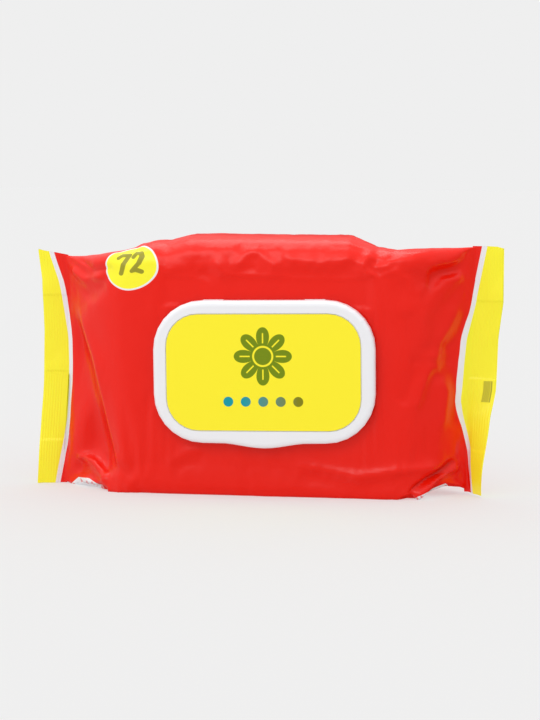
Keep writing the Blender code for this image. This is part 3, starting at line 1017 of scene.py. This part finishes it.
def makeSeal(side, name):
    seal = makeGrid(name, crimp["stepsAcross"], crimp["stepsUp"])
    grid = readPoints(seal)
    # the sheet runs from the inner edge at the front, round the cut edge, to the inner edge at the back
    across = grid[:, 0]
    share = (grid[:, 1] + 1.0) / 2.0
    lowerHalf = smooth((0.49 - share) / 0.03) * smooth((share - 0.06) / 0.1)
    width = sealShape["width"] - (crimp["stripGap"] * lowerHalf if side < 0 else 0.0)
    inward = np.abs(across) * (width + 0.8)
    end = 0 if side < 0 else 1
    low, high = film["sealFoot"][end] - 0.3, film["sealHead"][end] + 0.4
    wave = 0.35 * np.sin(share * 9.0 + inward * 0.35) * (1.0 - smooth(inward / 9.0))
    z = mix(low, high, share) + wave * np.where(share > 0.5, 1.0, 0.6)
    x, y = sealXY(side, inward, z)
    face = np.where(across < 0, -1.0, 1.0)
    half = crimp["outside"] * (0.66 + 0.8 * filmLayers(side, z))
    half = half * smooth(np.abs(across) * 30.0) * (1.0 - 0.25 * smooth((inward - width + 0.6) / 1.2))
    ridges = crimp["depth"] * np.interp(z, *crimp["fade"]) * np.sin(2.0 * np.pi * inward / crimp["pitch"])
    ridges = ridges * smooth(inward / 0.8) * smooth((width - 1.2 - inward) / 0.8)
    bend = 0.5 * np.sin(z * 0.11 + 1.0) * (1.0 - smooth(inward / 12.0))
    bend = bend + 0.25 * np.sin(z * 0.31 + inward * 0.2) * (1.0 - smooth(inward / 10.0))
    y = y + bend + face * half + ridges + film["middleY"]
    writePoints(seal, np.stack([x, y, z - topFall(x, z)], axis=1) * mm)
    storeValues(seal, "bandEdge", bandDistance(np.full(len(z), side), inward, z))
    storeValues(seal, "markEdge", np.where((side > 0) & (face < 0), inward, outOfRange))
    turnFacesOut(seal, weld=0.000001)
    bpy.ops.object.shade_smooth()
    dress(seal, sealPrint)
    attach(seal, "pack")


makeSeal(-1.0, "leftEndSeal")
makeSeal(1.0, "rightEndSeal")
print("end seals crimped")

lid = {
    "middle": (1.5, 0.0, 60.0),
    "tilt": 1.0,
    "white": (0.87, 0.87, 0.90),
    "roughness": 0.34,
    "labelYellow": (1.0, 0.87, 0.026),
    "green": (0.19, 0.27, 0.004),
    "teal": (0.005, 0.33, 0.40),
    "dotGreen": (0.24, 0.23, 0.008),
    "flower": (0.0, 7.6, 13.6),  # across, up, radius
    "dots": (-13.6, 2.35, 8.2),  # up, radius, spacing
    "tab": (31.5, 2.0, 3.6),  # across, half width, half height
    "tabInk": (0.30, 0.31, 0.33),
    "foil": ((0.80, 0.81, 0.83), (0.88, 0.89, 0.90)),
}


def mouldedWhite():
    made, tree, shader = newMaterial("mouldedWhite")
    grain = addGrain(tree, shader, 0.6, 0.00012, lid["roughness"], 0.04)
    shadeUnevenly(tree, shader, grain, lid["white"], 0.975)
    shader.inputs["Specular IOR Level"].default_value = 0.4
    return made


def lidPlace(tree):
    # millimetres across and up the lid from its middle
    coords = tree.nodes.new("ShaderNodeTexCoord")
    middle = tuple(side * mm for side in lid["middle"])
    place = joinVector(tree, "SUBTRACT", coords.outputs["Object"], middle)
    tilt = math.radians(lid["tilt"])
    cos, sin = math.cos(tilt) / mm, math.sin(tilt) / mm
    across = joinVector(tree, "DOT_PRODUCT", place, (cos, 0.0, sin))
    up = joinVector(tree, "DOT_PRODUCT", place, (-sin, 0.0, cos))
    return across, up


def flowerMask(tree, across, up):
    # eight petals with a vein in each gap and a ring round the heart
    flowerX, flowerZ, radius = lid["flower"]
    dx = joinMath(tree, "SUBTRACT", across, flowerX)
    dz = joinMath(tree, "SUBTRACT", up, flowerZ)
    far = farFromPoint(tree, dx, dz)
    turn = multiply(tree, joinMath(tree, "ARCTAN2", dz, dx), 4.0)
    petal = joinMath(tree, "POWER", joinMath(tree, "ABSOLUTE", joinMath(tree, "COSINE", turn)), 0.5)
    edge = joinMath(tree, "MULTIPLY_ADD", petal, radius * 0.62, radius * 0.38)
    flower = insideMask(tree, joinMath(tree, "SUBTRACT", far, edge), 0.0, 0.14)
    vein = multiply(tree, joinMath(tree, "ABSOLUTE", joinMath(tree, "SINE", turn)), far)
    vein = multiply(tree, insideMask(tree, vein, 1.3, 0.25), insideMask(tree, far, radius * 0.80, 0.2))
    heart = insideMask(tree, far, radius * 0.45, 0.15)
    vein = multiply(tree, vein, joinMath(tree, "SUBTRACT", 1.0, heart))
    ring = insideMask(tree, farFrom(tree, far, radius * 0.33), 0.45, 0.12)
    gaps = joinMath(tree, "MAXIMUM", ring, vein)
    return multiply(tree, flower, joinMath(tree, "SUBTRACT", 1.0, gaps))


def dotsMask(tree, across, up):
    # a row of five dots
    rowZ, radius, spacing = lid["dots"]
    shifted = joinMath(tree, "ADD", across, spacing * 50.5)
    wave = joinMath(tree, "PINGPONG", shifted, spacing / 2)
    dotX = joinMath(tree, "SUBTRACT", spacing / 2, wave)
    fromDot = farFromPoint(tree, dotX, joinMath(tree, "SUBTRACT", up, rowZ))
    inRow = insideMask(tree, joinMath(tree, "ABSOLUTE", across), spacing * 2.5, 0.1)
    return multiply(tree, insideMask(tree, fromDot, radius, 0.12), inRow)


def labelPrint():
    made, tree, shader = newMaterial("labelPrint")
    addGrain(tree, shader, 0.5, 0.0001, 0.33, 0.03)
    across, up = lidPlace(tree)
    colour = mixColour(tree, flowerMask(tree, across, up), lid["labelYellow"], lid["green"])
    spacing = lid["dots"][2]
    ramp = tree.nodes.new("ShaderNodeMapRange")
    ramp.inputs["From Min"].default_value = -spacing * 1.2
    ramp.inputs["From Max"].default_value = spacing * 2.0
    tree.links.new(across, ramp.inputs["Value"])
    dotColour = mixColour(tree, ramp.outputs[0], lid["teal"], lid["dotGreen"])
    colour = mixColour(tree, dotsMask(tree, across, up), colour, dotColour)
    tree.links.new(colour, shader.inputs["Base Color"])
    shader.inputs["Specular IOR Level"].default_value = 0.25
    return made


def peelFoil():
    made, tree, shader = newMaterial("peelFoil")
    grain = addGrain(tree, shader, 0.25, 0.0001, 0.3, 0.05)
    shade = mixColour(tree, grain.outputs["Gloss"], *lid["foil"])
    # a row of fine lines marks the lifting tab
    tabX, halfWidth, halfHeight = lid["tab"]
    across, up = lidPlace(tree)
    lines = insideMask(tree, joinMath(tree, "PINGPONG", across, 0.6), 0.2, 0.08)
    tab = insideMask(tree, farFrom(tree, across, tabX), halfWidth, 0.1)
    tab = multiply(tree, tab, insideMask(tree, joinMath(tree, "ABSOLUTE", up), halfHeight, 0.1))
    shade = mixColour(tree, multiply(tree, lines, tab), shade, lid["tabInk"])
    tree.links.new(shade, shader.inputs["Base Color"])
    shader.inputs["Metallic"].default_value = 0.3
    return made


white = mouldedWhite()
finishes = {"lid_frame": white, "flip_lid": white, "lid_label": labelPrint(), "opening_seal": peelFoil()}
for node, finish in finishes.items():
    dress(frame["nodes"][node], finish)

hingeWeb = {
    "across": 9.4,
    "apart": 23.9,
    "edge": 33.6,
    "low": 0.75,
    "high": 2.1,
    "bends": (1.05, 1.75),  # how far out the strip starts and ends its bend
    "thickness": 0.3,
    "wall": 26.0,  # the foot of the lid set, in front of the film's middle
}


def lidPoint(across, up, out):
    # a point given in the lid set's own frame, in metres
    tilt = math.radians(lid["tilt"])
    x = lid["middle"][0] + across * math.cos(tilt) - up * math.sin(tilt)
    z = lid["middle"][2] + across * math.sin(tilt) + up * math.cos(tilt)
    return Vector((x, film["middleY"] - hingeWeb["wall"] - out, z)) * mm


def makeHingeWeb(side, name):
    # the thin strip of plastic that bends when the real lid opens, made here as a straight strip in the
    # closed shape
    deselectAll()
    bpy.ops.mesh.primitive_cube_add(size=1.0)
    web = bpy.context.object
    web.name = name
    bpy.ops.object.mode_set(mode="EDIT")
    bpy.ops.mesh.subdivide(number_cuts=7)
    bpy.ops.object.mode_set(mode="OBJECT")
    points = readPoints(web)
    placed = [
        lidPoint(
            side * hingeWeb["apart"] + x * hingeWeb["across"],
            hingeWeb["edge"] + (y - 0.35) * hingeWeb["thickness"] - 0.05,
            mix(hingeWeb["low"], hingeWeb["high"], z + 0.5),
        )
        for x, y, z in points
    ]
    writePoints(web, np.array(placed))
    turnFacesOut(web)
    bpy.ops.object.shade_smooth_by_angle(angle=math.radians(40.0))
    dress(web, white)
    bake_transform(web)


makeHingeWeb(-1.0, "hingeWebLeft")
makeHingeWeb(1.0, "hingeWebRight")
print("lid set finished")

for piece in list(scene.objects):
    if piece.type == "MESH" and piece.name != "floor":
        bpy.data.collections["litByLamps"].objects.link(piece)
